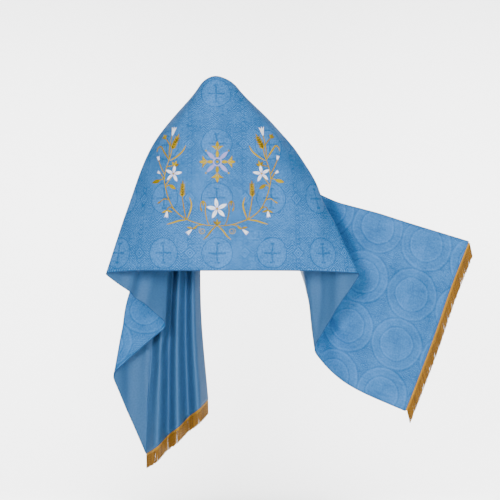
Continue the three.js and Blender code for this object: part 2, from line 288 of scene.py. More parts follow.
def facing(places, shares):
    """The direction that the brocade faces."""
    return unit(np.cross(*slopes(np.clip(places, 0, LAST), np.clip(shares, 0, 1))))


def flat_points(places, shares):
    """Where the places are on the flat cloth: along its length from the middle, and down its width."""
    places, shares = np.broadcast_arrays(np.clip(places, 0, LAST), np.clip(shares, 0, 1))
    number = np.minimum(places.astype(int), LAST - 1)
    way = (places - number)[..., None]
    start = FLAT_STARTS[number] * (1 - way) + FLAT_STARTS[number + 1] * way
    end = FLAT_ENDS[number] * (1 - way) + FLAT_ENDS[number + 1] * way
    return start + (end - start) * shares[..., None]


def crease_heights(places, shares):
    """How far the creases lift the cloth off the smooth drape."""
    flat = flat_points(places, shares)
    heights = np.zeros(flat.shape[:-1])
    for crease in CREASES:
        start = MM * np.array(crease.start, float)
        way = MM * np.array(crease.end, float) - start
        length = np.linalg.norm(way)
        along = (flat - start) @ way / length ** 2
        across = (flat - start) @ np.array([-way[1], way[0]]) / length
        within = np.clip(along, 0, 1)
        off = across - MM * crease.bow * 4 * within * (1 - within)
        fade = np.sin(np.pi * within) ** CREASE_FADE
        heights += MM * crease.depth * fade * np.exp(-(off / (MM * crease.width)) ** 2)
    return heights * bpy.context.scene.veil_sizes.crease_share


def cloth(places, shares, height=0.0):
    """Points of the creased cloth, at a height on its brocade side."""
    lift = crease_heights(places, shares) + height
    return drape(places, shares) + lift[..., None] * facing(places, shares)


# Meshes and nodes

def add_object(name, points, faces, material, loop_uvs=None):
    """A mesh object that rides on the body, with a UV map in metres of cloth if one is given."""
    mesh = bpy.data.meshes.new(name)
    mesh.from_pydata(np.asarray(points).reshape(-1, 3).tolist(), [], faces)
    if loop_uvs is not None:
        layer = mesh.uv_layers.new(name="Cloth")
        layer.data.foreach_set("uv", np.asarray(loop_uvs, np.float32).ravel())
    mesh.polygons.foreach_set("use_smooth", [True] * len(mesh.polygons))
    mesh.materials.append(material)
    mesh.update()
    piece = bpy.data.objects.new(name, mesh)
    bpy.context.scene.collection.objects.link(piece)
    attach(piece, BODY)
    return piece


def grid_faces(columns, rows, first=0, flip=False, closed=False):
    """Quads of a grid of points, counted down each column. A closed grid joins its last row to its first."""
    steps = rows if closed else rows - 1
    column, row = np.meshgrid(np.arange(columns - 1), np.arange(steps), indexing="ij")
    below = (row + 1) % rows
    here, after = column * rows, (column + 1) * rows
    corners = [here + row, after + row, after + below, here + below]
    quads = np.stack([corner.ravel() for corner in corners], axis=1) + first
    return (quads[:, ::-1] if flip else quads).tolist()


def add_node(tree, kind, inputs=(), output=0, stops=None, **settings):
    """Adds a node with its settings, and for a ramp its stops, as (place, grey) pairs. Links the inputs that
    are outputs of other nodes, sets the rest, and returns one of the node's own outputs."""
    made = tree.nodes.new(kind)
    for name, value in settings.items():
        setattr(made, name, value)
    if stops:
        elements = made.color_ramp.elements
        while len(elements) < len(stops):
            elements.new(1.0)
        for element, (place, grey) in zip(elements, stops):
            element.position = place
            element.color = (grey, grey, grey, 1)
    for socket, value in inputs.items() if isinstance(inputs, dict) else enumerate(inputs):
        if isinstance(value, bpy.types.NodeSocket):
            tree.links.new(value, made.inputs[socket])
        else:
            made.inputs[socket].default_value = value
    return made.outputs[output] if made.outputs else made


def new_material(name):
    """An empty material, its node tree, and the function that adds a node to it."""
    material = bpy.data.materials.new(name)
    material.use_nodes = True
    material.node_tree.nodes.clear()
    return material, partial(add_node, material.node_tree)


MATHS = "ShaderNodeMath"
VECTORS = "ShaderNodeVectorMath"
RAMP = "ShaderNodeValToRGB"
MIX = "ShaderNodeMix"
NOISE = "ShaderNodeTexNoise"
SPLIT = "ShaderNodeSeparateXYZ"
SHADER = "ShaderNodeBsdfPrincipled"
RESULT = "ShaderNodeOutputMaterial"

# The damask's figures, as stops of a ramp: how far from the middle in millimetres, and how light the weave
# is there, from 0 for the ground's dark outlines to 1 for full satin
SMALL_ROUNDEL = [(0, .62), (42, .62), (43.5, .42), (45, .8), (47.5, 0), (50, .5)]
WIDE_ROUNDEL = [(0, .5), (48, .55), (52, .85), (57, .1), (61, .5), (75, .5), (81, .85), (87, .05),
                (91, .5)]
MEDALLION = [(0, 0), (3, 0), (5, .85), (8, .7), (10, 0), (13, .8), (17, .6), (19.5, 0), (22, .45)]
CHAIN = [(0, 0), (2, 0), (3.5, .8), (5.5, .8), (7.5, 0), (9.5, .4)]
# How far the figures' ramps reach, in millimetres
RAMP_REACH = 120
# How far each figure reaches, and the pitch of the chains
SMALL_RADIUS = 50 * MM
WIDE_RADIUS = 91 * MM
MEDALLION_RADIUS = 22 * MM
CHAIN_WIDTH = 9 * MM
CHAIN_PITCH = 15 * MM
# The cross in each roundel, in millimetres: the half lengths and the profile of its bars, the place, the
# profile and the reach of the short bar near both ends, and how light it is
CROSS_UPRIGHT = 33
CROSS_LEVEL = 27
CROSS_BAR = [(0, 1), (2.2, 1), (3.4, 0)]
CROSS_TIP_PLACE = 30
CROSS_TIP = [(0, 1), (2.4, 1), (3.6, 0)]
CROSS_TIP_REACH = [(0, 1), (7, 1), (8.5, 0)]
CROSS_GREY = 0.28
# The ground's zigzag: the width of its turns, and the half pitch and the profile of its stripes
ZIGZAG_WIDTH = 14 * MM
STRIPE_WIDTH = 4 * MM
STRIPE = [(0, .1), (1.2, .15), (2.8, .75), (4, .8)]
# The sizes of what is uneven: the figures' wander, the ground's patches, the clouds and streaks of painted
# sheen, grain, threads
WANDER_SIZE = 50 * MM
WANDER_REACH = 6 * MM
PATCH_SIZE = 34 * MM
SHEEN_CLOUD_SIZE = 90 * MM
SHEEN_STREAK_SIZE = (40 * MM, 9 * MM)
GRAIN_SIZE = 5.5 * MM
DRAWN_THREAD = 1.6 * MM
# What each adds to the tone, and how much less the figures, the crosses and the grain add on both ends
PATTERN_SHARE = 1.3
PATTERN_LESS = -0.65
PATTERN_MIDDLE = 0.55
CROSS_LESS = -0.45
GRAIN_SHARE = 1.5
GRAIN_LESS = -0.7
# The painted sheen: what its clouds and its streaks add to the tone
SHEEN_CLOUD_SHARE = 1.0
SHEEN_STREAK_SHARE = 0.5
TONE_BASE = -0.22
THREAD_SHARE = 0.35
# The ground is the roughest, and full satin is smoother by this much
GROUND_ROUGHNESS = 0.74
SATIN_LESS = -0.16
# The light yarns of the braid, and how much they lighten it
BRAID_LIGHT = "#E7AE27"
BRAID_SHARE = 0.3
PAPER_WHITE = "#F6F6F6"
# The settings of a node that mixes two colours, and of one that darkens a colour by a tone
COLOURS = {"output": 2, "data_type": "RGBA"}
DARKENED = {**COLOURS, "blend_type": "MULTIPLY"}


def figured_damask():
    """Silk and viscose damask, woven with satin figures on a duller ground of the same colour. To the eye
    the figures are a little lighter and smoother than the ground, and both have a faint, soft gloss. Soft
    clouds and streaks of painted sheen lie in its colour."""
    colours = bpy.context.scene.veil_colours
    repeat = bpy.context.scene.veil_sizes.pattern_repeat
    material, node = new_material("damask_woven")
    flat = node("ShaderNodeUVMap", output="UV", uv_map="Cloth")
    held_out = node("ShaderNodeAttribute", output="Fac", attribute_name="held_out")
    # Woven figures are never quite true, so each is drawn a little out of its place
    wander = node(NOISE, {"Vector": flat, "Scale": 1 / WANDER_SIZE, "Detail": 1.0}, output="Color",
                  noise_dimensions="2D")
    wander = node(VECTORS, [wander, (0.5, 0.5, 0.5)], operation="SUBTRACT")
    flat = node(VECTORS, [wander, (WANDER_REACH, WANDER_REACH, 0), flat], operation="MULTIPLY_ADD")

    def cell(width, height, shift):
        """The place inside its own repeat, from the repeat's middle and without its sign, in metres."""
        scaled = node(VECTORS, [flat, (1 / width, 1 / height, 0), (0.5 + shift, 0.5, 0)],
                      operation="MULTIPLY_ADD")
        part = node(VECTORS, [scaled], operation="FRACTION")
        place = node(VECTORS, [part, (width, height, 0), (-width / 2, -height / 2, 0)],
                     operation="MULTIPLY_ADD")
        return node(VECTORS, [place], operation="ABSOLUTE")

    def figure(distance, table):
        """How light a figure is at a distance in metres from its middle."""
        share = node(MATHS, [distance, 1 / (RAMP_REACH * MM)], operation="MULTIPLY")
        return node(RAMP, [share], stops=[(place / RAMP_REACH, grey) for place, grey in table])

    # Roundels: a thin dark circle round a disc with a cross, and on both ends a second, wider circle
    roundel = cell(repeat, repeat, 0)
    radius = node(VECTORS, [roundel], output="Value", operation="LENGTH")
    rings = node(MIX, {0: held_out, 2: figure(radius, SMALL_ROUNDEL), 3: figure(radius, WIDE_ROUNDEL)})
    reach = node(MATHS, [held_out, WIDE_RADIUS - SMALL_RADIUS, SMALL_RADIUS], operation="MULTIPLY_ADD")
    in_disc = node(MATHS, [radius, reach], operation="LESS_THAN")
    across = node(SPLIT, [roundel], output="X")
    upright = node(SPLIT, [roundel], output="Y")
    bars = []
    for near, far, length in ((across, upright, CROSS_UPRIGHT), (upright, across, CROSS_LEVEL)):
        ends = figure(far, [(0, 1), (length - 1, 1), (length + 1, 0)])
        bars.append(node(MATHS, [figure(near, CROSS_BAR), ends], operation="MULTIPLY"))
    tip_place = node(MATHS, [upright, CROSS_TIP_PLACE * MM], operation="SUBTRACT")
    tip_place = node(MATHS, [tip_place], operation="ABSOLUTE")
    tip = node(MATHS, [figure(tip_place, CROSS_TIP), figure(across, CROSS_TIP_REACH)], operation="MULTIPLY")
    cross = node(MATHS, [node(MATHS, bars, operation="MAXIMUM"), tip], operation="MAXIMUM")
    faint = node(MATHS, [held_out, CROSS_LESS, 1.0], operation="MULTIPLY_ADD")
    cross = node(MATHS, [cross, faint], operation="MULTIPLY")
    disc = node(MIX, {0: cross, 2: rings, 3: CROSS_GREY})

    # Medallions: nested lozenges, midway between the roundels
    medal = cell(repeat, repeat, 0.5)
    lozenge = node(VECTORS, [medal, (1, 1, 0)], output="Value", operation="DOT_PRODUCT")
    in_medallion = node(MATHS, [lozenge, MEDALLION_RADIUS], operation="LESS_THAN")

    # Chains of small lozenges, down the columns between the roundels
    link = cell(repeat, CHAIN_PITCH, 0.5)
    link_place = node(VECTORS, [link, (1, 1.1, 0)], output="Value", operation="DOT_PRODUCT")
    in_chain = node(MATHS, [node(SPLIT, [link], output="X"), CHAIN_WIDTH], operation="LESS_THAN")

    # The ground's zigzag, drawn about twice as coarse as it is woven so that it shows
    zigzag = node(MATHS, [node(SPLIT, [flat], output="X"), ZIGZAG_WIDTH], operation="PINGPONG")
    run = node(MATHS, [node(SPLIT, [flat], output="Y"), zigzag], operation="ADD")
    stripe = figure(node(MATHS, [run, STRIPE_WIDTH], operation="PINGPONG"), STRIPE)
    patch = node(NOISE, {"Vector": flat, "Scale": 1 / PATCH_SIZE, "Detail": 1.0}, noise_dimensions="2D")
    strength = node(RAMP, [patch], stops=[(0.38, .15), (0.62, 1)])
    pattern = node(MIX, {0: strength, 2: 0.5, 3: stripe})
    for share, drawn in ((in_chain, figure(link_place, CHAIN)),
                         (in_medallion, figure(lozenge, MEDALLION)),
                         (in_disc, disc)):
        pattern = node(MIX, {0: share, 2: pattern, 3: drawn})

    # Painted sheen: soft clouds, and faint streaks along the weft, painted lighter and darker into the
    # colour for the light that the satin figures catch
    sheen_clouds = node(NOISE, {"Vector": flat, "Scale": 1 / SHEEN_CLOUD_SIZE, "Detail": 4.0, "Roughness": 0.62},
                  noise_dimensions="2D")
    stretched = node(VECTORS, [flat, (1 / SHEEN_STREAK_SIZE[0], 1 / SHEEN_STREAK_SIZE[1], 1)], operation="MULTIPLY")
    sheen_streaks = node(NOISE, {"Vector": stretched, "Scale": 1.0, "Detail": 3.0, "Roughness": 0.7},
                   noise_dimensions="2D")
    grain = node(NOISE, {"Vector": flat, "Scale": 1 / GRAIN_SIZE, "Detail": 2.0, "Roughness": 0.6},
                 noise_dimensions="2D")
    grain = node(MATHS, [grain, 0.5], operation="SUBTRACT")
    grain_share = node(MATHS, [held_out, GRAIN_LESS, GRAIN_SHARE], operation="MULTIPLY_ADD")
    grain = node(MATHS, [grain, grain_share], operation="MULTIPLY")
    pattern_share = node(MATHS, [held_out, PATTERN_LESS, PATTERN_SHARE], operation="MULTIPLY_ADD")
    tone = node(MATHS, [pattern, PATTERN_MIDDLE], operation="SUBTRACT")
    tone = node(MATHS, [tone, pattern_share, TONE_BASE], operation="MULTIPLY_ADD")
    tone = node(MATHS, [sheen_clouds, SHEEN_CLOUD_SHARE, tone], operation="MULTIPLY_ADD")
    tone = node(MATHS, [sheen_streaks, SHEEN_STREAK_SHARE, tone], operation="MULTIPLY_ADD")
    tone = node(MATHS, [tone, grain], operation="ADD", use_clamp=True)
    colour = node(MIX, {0: tone, 6: (*colours.brocade_dark, 1), 7: (*colours.brocade_light, 1)}, **COLOURS)

    # Threads lie about 0.4 mm apart in the cloth, and are drawn wider apart
    threads = node(NOISE, {"Vector": flat, "Scale": 1 / DRAWN_THREAD, "Detail": 1.0}, noise_dimensions="2D")
    relief = node(MATHS, [threads, THREAD_SHARE, pattern], operation="MULTIPLY_ADD")
    bump = node("ShaderNodeBump", {"Strength": 0.55, "Distance": 0.9 * MM, "Height": relief})
    roughness = node(MATHS, [pattern, SATIN_LESS, GROUND_ROUGHNESS], operation="MULTIPLY_ADD")
    shader = node(SHADER, {"Base Color": colour, "Roughness": roughness, "IOR": 1.45,
                           "Specular IOR Level": 0.14, "Normal": bump})
    node(RESULT, {"Surface": shader})
    return material


def polyester_satin():
    """Polyester satin, woven so that long floats lie on its face. To the eye it is smooth, with broad soft
    highlights down each fold."""
    colours = bpy.context.scene.veil_colours
    material, node = new_material("satin_woven")
    flat = node("ShaderNodeUVMap", output="UV", uv_map="Cloth")
    floats = node(NOISE, {"Vector": flat, "Scale": 1 / (6 * MM), "Detail": 3.0}, noise_dimensions="2D")
    tone = node(RAMP, [floats], stops=[(0.3, 0.88), (0.7, 1.0)])
    colour = node(MIX, {0: 1.0, 6: (*colours.lining, 1), 7: tone}, **DARKENED)
    bump = node("ShaderNodeBump", {"Strength": 0.3, "Distance": 0.4 * MM, "Height": floats})
    shader = node(SHADER, {"Base Color": colour, "Roughness": 0.5, "IOR": 1.5, "Specular IOR Level": 0.15,
                           "Metallic": 0.1, "Normal": bump})
    node(RESULT, {"Surface": shader})
    return material


def shade_darkened_cotton():
    """Cotton sewing thread and rolled edge, its colour set a little deeper than the cloth as painted shade.
    To the eye it draws a fine dark line round the veil, which stands for the shadow along its edges."""
    colours = bpy.context.scene.veil_colours
    material, node = new_material("cotton_painted_shade")
    shade = node(NOISE, {"Vector": node("ShaderNodeTexCoord", output="Object"), "Scale": 1 / (2 * MM)})
    tone = node(RAMP, [shade], stops=[(0.3, 0.75), (0.7, 1.0)])
    colour = node(MIX, {0: 1.0, 6: (*colours.edge, 1), 7: tone}, **DARKENED)
    shader = node(SHADER, {"Base Color": colour, "Roughness": 0.7, "IOR": 1.45, "Specular IOR Level": 0.3})
    node(RESULT, {"Surface": shader})
    return material


def gilt_bullion():
    """Gilt bullion, a fine metal strip wound on a cotton core and twisted. To the eye each cord glints on
    its turns and is brown between them."""
    colours = bpy.context.scene.veil_colours
    material, node = new_material("bullion_twisted")
    chance = node("ShaderNodeNewGeometry", output="Random Per Island")
    tone = node(RAMP, [chance], stops=[(0.0, 0.3), (0.5, 0.8), (1.0, 1.0)])
    colour = node(MIX, {0: 1.0, 6: (*colours.bullion, 1), 7: tone}, **DARKENED)
    shader = node(SHADER, {"Base Color": colour, "Roughness": 0.45, "Metallic": 0.3})
    node(RESULT, {"Surface": shader})
    return material


def gilt_braid():
    """Gilt braid, plied closer than the cords below it. To the eye it is a lighter, smoother gold line."""
    colours = bpy.context.scene.veil_colours
    material, node = new_material("braid_plied")
    light = node(MIX, {0: BRAID_SHARE, 6: (*colours.bullion, 1), 7: (*linear(BRAID_LIGHT), 1)}, **COLOURS)
    shader = node(SHADER, {"Base Color": light, "Roughness": 0.4, "Metallic": 0.3})
    node(RESULT, {"Surface": shader})
    return material


def rayon_thread(name, colour, deep):
    """Rayon embroidery thread, laid in satin stitches. To the eye each leaf or petal has a silky gloss and
    its own slight shade. Deep is how dark the darkest of them is."""
    material, node = new_material(name)
    chance = node("ShaderNodeNewGeometry", output="Random Per Island")
    tone = node(RAMP, [chance], stops=[(0.0, deep), (0.6, 1.0)])
    shade = node(MIX, {0: 1.0, 6: (*colour, 1), 7: tone}, **DARKENED)
    shader = node(SHADER, {"Base Color": shade, "Roughness": 0.45, "IOR": 1.5, "Specular IOR Level": 0.2})
    node(RESULT, {"Surface": shader})
    return material


def seamless_paper():
    """White seamless background paper, matt. To the eye it is an even, nearly white ground. Its back is left
    clear, so that it doesn't hide the veil's front."""
    material, node = new_material("paper_matt")
    white = (*linear(PAPER_WHITE), 1)
    shader = node(SHADER, {"Base Color": white, "Roughness": 0.9, "Specular IOR Level": 0.2})
    behind = node("ShaderNodeNewGeometry", output="Backfacing")
    clear = node("ShaderNodeBsdfTransparent")
    node(RESULT, {"Surface": node("ShaderNodeMixShader", [behind, shader, clear])})
    return material


# The cloth

COLUMNS_PER_LINE = 12
ROWS = 110
FIRST_GAP = 0.15 * MM


def cloth_grid():
    places = np.linspace(0, LAST, LAST * COLUMNS_PER_LINE + 1)
    shares = np.linspace(0, 1, ROWS)
    return np.meshgrid(places, shares, indexing="ij")


# Where the roundels start: the first row below the top edge, and the last column in from the right end
FIRST_ROUNDEL_DOWN = 60 * MM
LAST_ROUNDEL_IN = 130 * MM
# The right end's own directions on x and z: along its length, and down its short end
HEM_SLOPE = (0.957, -0.29)
END_SLOPE = (-0.352, -0.936)


def pattern_places(places, shares):
    """Three sets of pattern coordinates in metres: one that keeps the roundels level on the back, one that
    keeps them square to the right end's own edges, and one that follows the flat cloth, for the left end."""
    points = drape(places, shares)
    run = distances(points)
    middle = NUMBERS["back_middle"] * COLUMNS_PER_LINE
    along = run[middle] - run
    down_line = points[middle]
    down = np.interp(-points[..., 2], -down_line[:, 2], distances(down_line))
    level = np.stack([along, down - FIRST_ROUNDEL_DOWN], axis=-1)
    corner = THIRDS[NUMBERS["right_top_edge"], 3]
    x, z = points[..., 0] - corner[0], points[..., 2] - corner[2]
    along = x * HEM_SLOPE[0] + z * HEM_SLOPE[1] + LAST_ROUNDEL_IN
    down = x * END_SLOPE[0] + z * END_SLOPE[1] - FIRST_ROUNDEL_DOWN
    return level, np.stack([along, down], axis=-1), flat_points(places, shares)


def shell(name, material, near, far, figured):
    """A closed cloth wall between two heights on the drape, as one piece from end to end. The coordinates
    of a cloth that isn't figured follow the flat cloth all over."""
    places, shares = cloth_grid()
    columns, rows = places.shape
    outer = cloth(places, shares, max(near, far))
    inner = cloth(places, shares, min(near, far))
    points = np.concatenate([outer.reshape(-1, 3), inner.reshape(-1, 3)])
    count = columns * rows
    front = grid_faces(columns, rows)
    back = grid_faces(columns, rows, count, flip=True)
    rims = []
    for column in range(columns - 1):
        top, next_top = column * rows, (column + 1) * rows
        low, next_low = top + rows - 1, next_top + rows - 1
        rims.append([top, top + count, next_top + count, next_top])
        rims.append([low, next_low, next_low + count, low + count])
    last = (columns - 1) * rows
    for row in range(rows - 1):
        rims.append([row, row + 1, row + 1 + count, row + count])
        rims.append([last + row, last + row + count, last + row + 1 + count, last + row + 1])
    faces = front + back + rims
    level, held_out, flat = (part.reshape(-1, 2) for part in pattern_places(places, shares))
    corners = np.array([corner for face in faces for corner in face]) % count
    first_points = [min(face) % count for face in faces]
    lines = np.repeat(first_points, [len(face) for face in faces]) / rows / COLUMNS_PER_LINE
    right_seam = NUMBERS["right_fold_out"] + 0.5
    left_seam = NUMBERS["left_pleat"] + 0.5
    uvs = flat[corners]
    if figured:
        uvs = np.where((lines < left_seam)[:, None], level[corners], uvs)
        uvs = np.where((lines < right_seam)[:, None], held_out[corners], uvs)
    piece = add_object(name, points, faces, material, uvs)
    held = piece.data.attributes.new("held_out", "FLOAT", "POINT")
    on_ends = np.repeat((places[:, 0] < right_seam) | (places[:, 0] > left_seam), rows)
    held.data.foreach_set("value", np.tile(on_ends.astype(np.float32), 2))
    return piece


def node_names(start):
    return [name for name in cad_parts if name.startswith(start)]


class VEIL_OT_brocade(bpy.types.Operator):
    """Adds the damask, one continuous wall from end to end"""
    bl_idname = "veil.brocade"
    bl_label = "Brocade"

    def execute(self, context):
        sizes = context.scene.veil_sizes
        far = FIRST_GAP + sizes.brocade_thickness
        piece = shell("brocade", figured_damask(), FIRST_GAP, far, figured=True)
        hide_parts(*node_names("brocade_"))
        return {"FINISHED"}


class VEIL_OT_lining(bpy.types.Operator):
    """Adds the satin lining behind the damask"""
    bl_idname = "veil.lining"
    bl_label = "Lining"

    def execute(self, context):
        sizes = context.scene.veil_sizes
        far = -FIRST_GAP - sizes.lining_thickness
        piece = shell("lining", polyester_satin(), -FIRST_GAP, far, figured=False)
        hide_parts(*node_names("lining_"))
        return {"FINISHED"}


# The rolled edge and its stitching

BORDER_STEPS = 1500
END_STEP = 0.1
EDGE_STEP = 4 * MM
EDGE_SIDES = 8
EDGE_ACROSS = 1.5 * MM
EDGE_OUT = 1.7 * MM
EDGE_MIDDLE = 0.2 * MM
STITCH_INSET = 7 * MM
STITCH_PITCH = 4.4 * MM
STITCH_LENGTH = 3.2 * MM
STITCH_RADIUS = 0.45 * MM
STITCH_SIDES = 6
# The rings of a stitch: where each is, as a share of the stitch's length, and its share of the radius
STITCH_RINGS = ((-0.5, 0.35), (-0.3, 1.0), (0.3, 1.0), (0.5, 0.35))


def border_loop(inset):
    """Places and shares round all four edges of the cloth, a little way in, and how far round each is."""
    fine = np.linspace(0, 1, BORDER_STEPS)
    across = fine * LAST

    def steps_in(edge, beside, step):
        """The inset in places or shares, from what a step of them measures beside that edge."""
        return inset * step / np.linalg.norm(drape(*beside) - drape(*edge), axis=-1)

    low = steps_in((across, 1.0), (across, 1 - SHORT_STEP), SHORT_STEP)
    top = steps_in((across, 0.0), (across, SHORT_STEP), SHORT_STEP)
    right = steps_in((0.0, fine), (END_STEP, fine), END_STEP)
    left = steps_in((LAST, fine), (LAST - END_STEP, fine), END_STEP)
    places = np.concatenate([right, across, LAST - left[::-1], LAST - across])
    shares = np.concatenate([fine, 1 - low, 1 - fine, top[::-1]])
    return places, shares, distances(cloth(places, shares))


def loop_places(inset, step):
    """Places and shares round the cloth, evenly spaced in real length."""
    places, shares, run = border_loop(inset)
    count = int(run[-1] / step)
    wanted = np.arange(count) / count * run[-1]
    return np.interp(wanted, run, places), np.interp(wanted, run, shares)


def path_frame(points, normals, closed=False):
    """The directions along a path, and the two across it: out of the cloth and in its plane."""
    after = np.roll(points, -1, axis=0)
    before = np.roll(points, 1, axis=0)
    if not closed:
        after[-1], before[0] = points[-1], points[0]
    along = unit(after - before)
    normals = unit(normals - along * np.sum(normals * along, axis=-1, keepdims=True))
    return along, normals, np.cross(along, normals)


def tube(points, normals, sides, out, across, closed=False):
    """A tube of elliptical section round a path."""
    _, normals, side = path_frame(points, normals, closed)
    turn = np.linspace(0, 2 * np.pi, sides, endpoint=False)
    ring = (out * np.cos(turn)[None, :, None] * normals[:, None]
            + across * np.sin(turn)[None, :, None] * side[:, None])
    skin = points[:, None] + ring
    if closed:
        skin = np.concatenate([skin, skin[:1]])
    return skin


def closed_tube_faces(rings, sides, first):
    """Faces of a tube of some rings, with a face across each end."""
    last = first + (rings - 1) * sides
    ends = [[first + k for k in range(sides)], [last + k for k in reversed(range(sides))]]
    return grid_faces(rings, sides, first, closed=True) + ends


class VEIL_OT_edge(bpy.types.Operator):
    """Adds the rolled edge all round and the row of stitches that holds it"""
    bl_idname = "veil.edge"
    bl_label = "Rolled edge"

    def execute(self, context):
        material = shade_darkened_cotton()
        places, shares = loop_places(0.0, EDGE_STEP)
        points = cloth(places, shares, EDGE_MIDDLE)
        skin = tube(points, facing(places, shares), EDGE_SIDES, EDGE_ACROSS, EDGE_OUT, closed=True)
        faces = np.array(grid_faces(len(skin), EDGE_SIDES, closed=True)) % (len(points) * EDGE_SIDES)
        add_object("rolled_edge", skin[:-1], faces.tolist(), material)
        places, shares = loop_places(STITCH_INSET, STITCH_PITCH)
        surface = FIRST_GAP + context.scene.veil_sizes.brocade_thickness
        centres = cloth(places, shares, surface)
        along, normals, side = path_frame(centres, facing(places, shares), closed=True)
        points, faces = [], []
        turn = np.linspace(0, 2 * np.pi, STITCH_SIDES, endpoint=False)
        first = 0
        for number, centre in enumerate(centres):
            ring = np.cos(turn)[:, None] * normals[number] + np.sin(turn)[:, None] * side[number]
            for place, size in STITCH_RINGS:
                points.append(centre + place * STITCH_LENGTH * along[number] + STITCH_RADIUS * size * ring)
            faces += closed_tube_faces(len(STITCH_RINGS), STITCH_SIDES, first)
            first += len(STITCH_RINGS) * STITCH_SIDES
        add_object("hem_stitching", np.concatenate(points), faces, material)
        return {"FINISHED"}


# The fringe

FRINGE_GAP = 0.9 * MM
FRINGE_INSET = 0.02
HEAD_WIDTH = 8 * MM
LAYER_GAP = 1.1 * MM
PLY_RADIUS = 0.8 * MM
PLY_OFFSET = 0.6 * MM
PLY_SIDES = 5
CORD_STEPS = 20
CORD_TAPER = 0.95
TURN_LENGTH = 8 * MM
# How uneven the cords are: in direction, in length as shares of it, and in how far their ends swing
CORD_SPREAD = 0.012
CORD_LENGTHS = (0.96, 1.03)
CORD_SWAY = 1.0
FRINGE_SEED = 7
END_PLACES = 600
BRAID_PLACES = 420
BRAID_ROWS = (0.6 * MM, 3.0 * MM, 5.4 * MM)
BRAID_RADIUS = 1.25 * MM
BRAID_OFFSET = 0.6875 * MM
BRAID_TURN = 5 * MM
Fringe = namedtuple("Fringe", "name first last hang")
FRINGES = [
    Fringe("right", "right_top_edge", "right_corner", (0.225, -0.03, -0.974)),
    Fringe("left", "left_corner", "left_top_edge", (0.02, 0, -1)),
]


def border_places(first, last, count):
    """Places evenly spaced in real length along the border."""
    fine = np.linspace(first, last, END_PLACES)
    run = distances(cloth(fine, 1.0))
    return np.interp((np.arange(count) + 0.5) / count * run[-1], run, fine)


def away_from_border(places):
    edge = cloth(places + SHORT_STEP, 1.0) - cloth(places - SHORT_STEP, 1.0)
    return unit(np.cross(facing(places, 1.0), edge))


def add_ropes(name, ropes, offset, radius, turn_length, material, thin=1.0):
    """Adds ropes of two plies. Each rope is a path, the directions across it and the angle it starts at.
    Thin is the radius at the far end, as a share."""
    points, faces, first = [], [], 0
    for path, normals, start in ropes:
        _, normals, side = path_frame(path, normals)
        run = distances(path)
        taper = 1 + (thin - 1) * (run / run[-1])[:, None] ** 2
        for ply in (0, np.pi):
            angle = (start + ply + 2 * np.pi * run / turn_length)[:, None]
            centre = path + offset * taper * (np.cos(angle) * normals + np.sin(angle) * side)
            skin = tube(centre, normals, PLY_SIDES, radius, radius)
            skin = centre[:, None] + (skin - centre[:, None]) * taper[:, None]
            faces += closed_tube_faces(len(path), PLY_SIDES, first)
            first += len(path) * PLY_SIDES
            points.append(skin.reshape(-1, 3))
    return add_object(name, np.concatenate(points), faces, material)


class VEIL_OT_fringe(bpy.types.Operator):
    """Adds the bullion fringe of both short ends, cords below a braid"""
    bl_idname = "veil.fringe"
    bl_label = "Fringe"

    def execute(self, context):
        sizes = context.scene.veil_sizes
        random = np.random.default_rng(FRINGE_SEED)
        cord_material = gilt_bullion()
        braid_material = gilt_braid()
        for fringe in FRINGES:
            first, last = NUMBERS[fringe.first] + FRINGE_INSET, NUMBERS[fringe.last] - FRINGE_INSET
            places = border_places(first, last, sizes.fringe_cords)
            away = away_from_border(places)
            fronts = facing(places, 1.0)
            layer = np.where(np.arange(len(places)) % 2, 0.5, -0.5) * LAYER_GAP
            roots = (cloth(places, 1.0) + (FRINGE_GAP + HEAD_WIDTH / 2) * away
                     + (EDGE_MIDDLE + layer)[:, None] * fronts)
            hang = unit(np.array(fringe.hang, float))
            directions = unit(hang + random.uniform(-CORD_SPREAD, CORD_SPREAD, (len(places), 3)))
            lengths = sizes.fringe_length * random.uniform(*CORD_LENGTHS, len(places))
            sways = random.uniform(-CORD_SWAY, CORD_SWAY, (len(places), 3)) * MM
            starts = random.uniform(0, 2 * np.pi, len(places))
            ropes = []
            way = np.linspace(0, 1, CORD_STEPS)[:, None]
            for root, direction, length, sway, start in zip(roots, directions, lengths, sways, starts):
                path = root + way * length * direction + way ** 2 * sway
                side = np.broadcast_to(np.cross(direction, (0.0, 1.0, 0.0)), path.shape)
                ropes.append((path, side, start))
            cords = add_ropes("fringe_cords_" + fringe.name, ropes, PLY_OFFSET, PLY_RADIUS, TURN_LENGTH,
                              cord_material, CORD_TAPER)
            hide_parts("fringe_" + fringe.name)

            places = border_places(first, last, BRAID_PLACES)
            edge = cloth(places, 1.0, EDGE_MIDDLE)
            away, fronts = away_from_border(places), facing(places, 1.0)
            ropes = [(edge + (FRINGE_GAP + out) * away, fronts, row) for row, out in enumerate(BRAID_ROWS)]
            braid = add_ropes("fringe_braid_" + fringe.name, ropes, BRAID_OFFSET, BRAID_RADIUS, BRAID_TURN,
                              braid_material)
        return {"FINISHED"}


# The embroidery, drawn in millimetres as seen from behind, from the foot of the wreath. What is drawn for
# the right half is mirrored on the left.

WREATH_FOOT = (2 * MM, -375 * MM)
THREAD_HEIGHT = 1.6
SURFACE_SINK = 0.25
# The outline of a leaf, a rim of painted shade in dark or lilac thread: how far it shows round it and how
# high it stands
OUTLINE = 1.3
OUTLINE_HEIGHT = 0.45
# Satin stitch: the length of a row and the fewest rows, and the points across. As shares, the width at both
# ends, how bluntly it widens, the furrow's width and the depth between two threads
STITCH_ROWS = 1.1
FEWEST_ROWS = 7
LEAF_ACROSS = 9
LEAF_ENDS = 0.03
LEAF_BLUNTNESS = 0.7
FURROW_WIDTH = 0.22
THREAD_DEPTH = 0.16
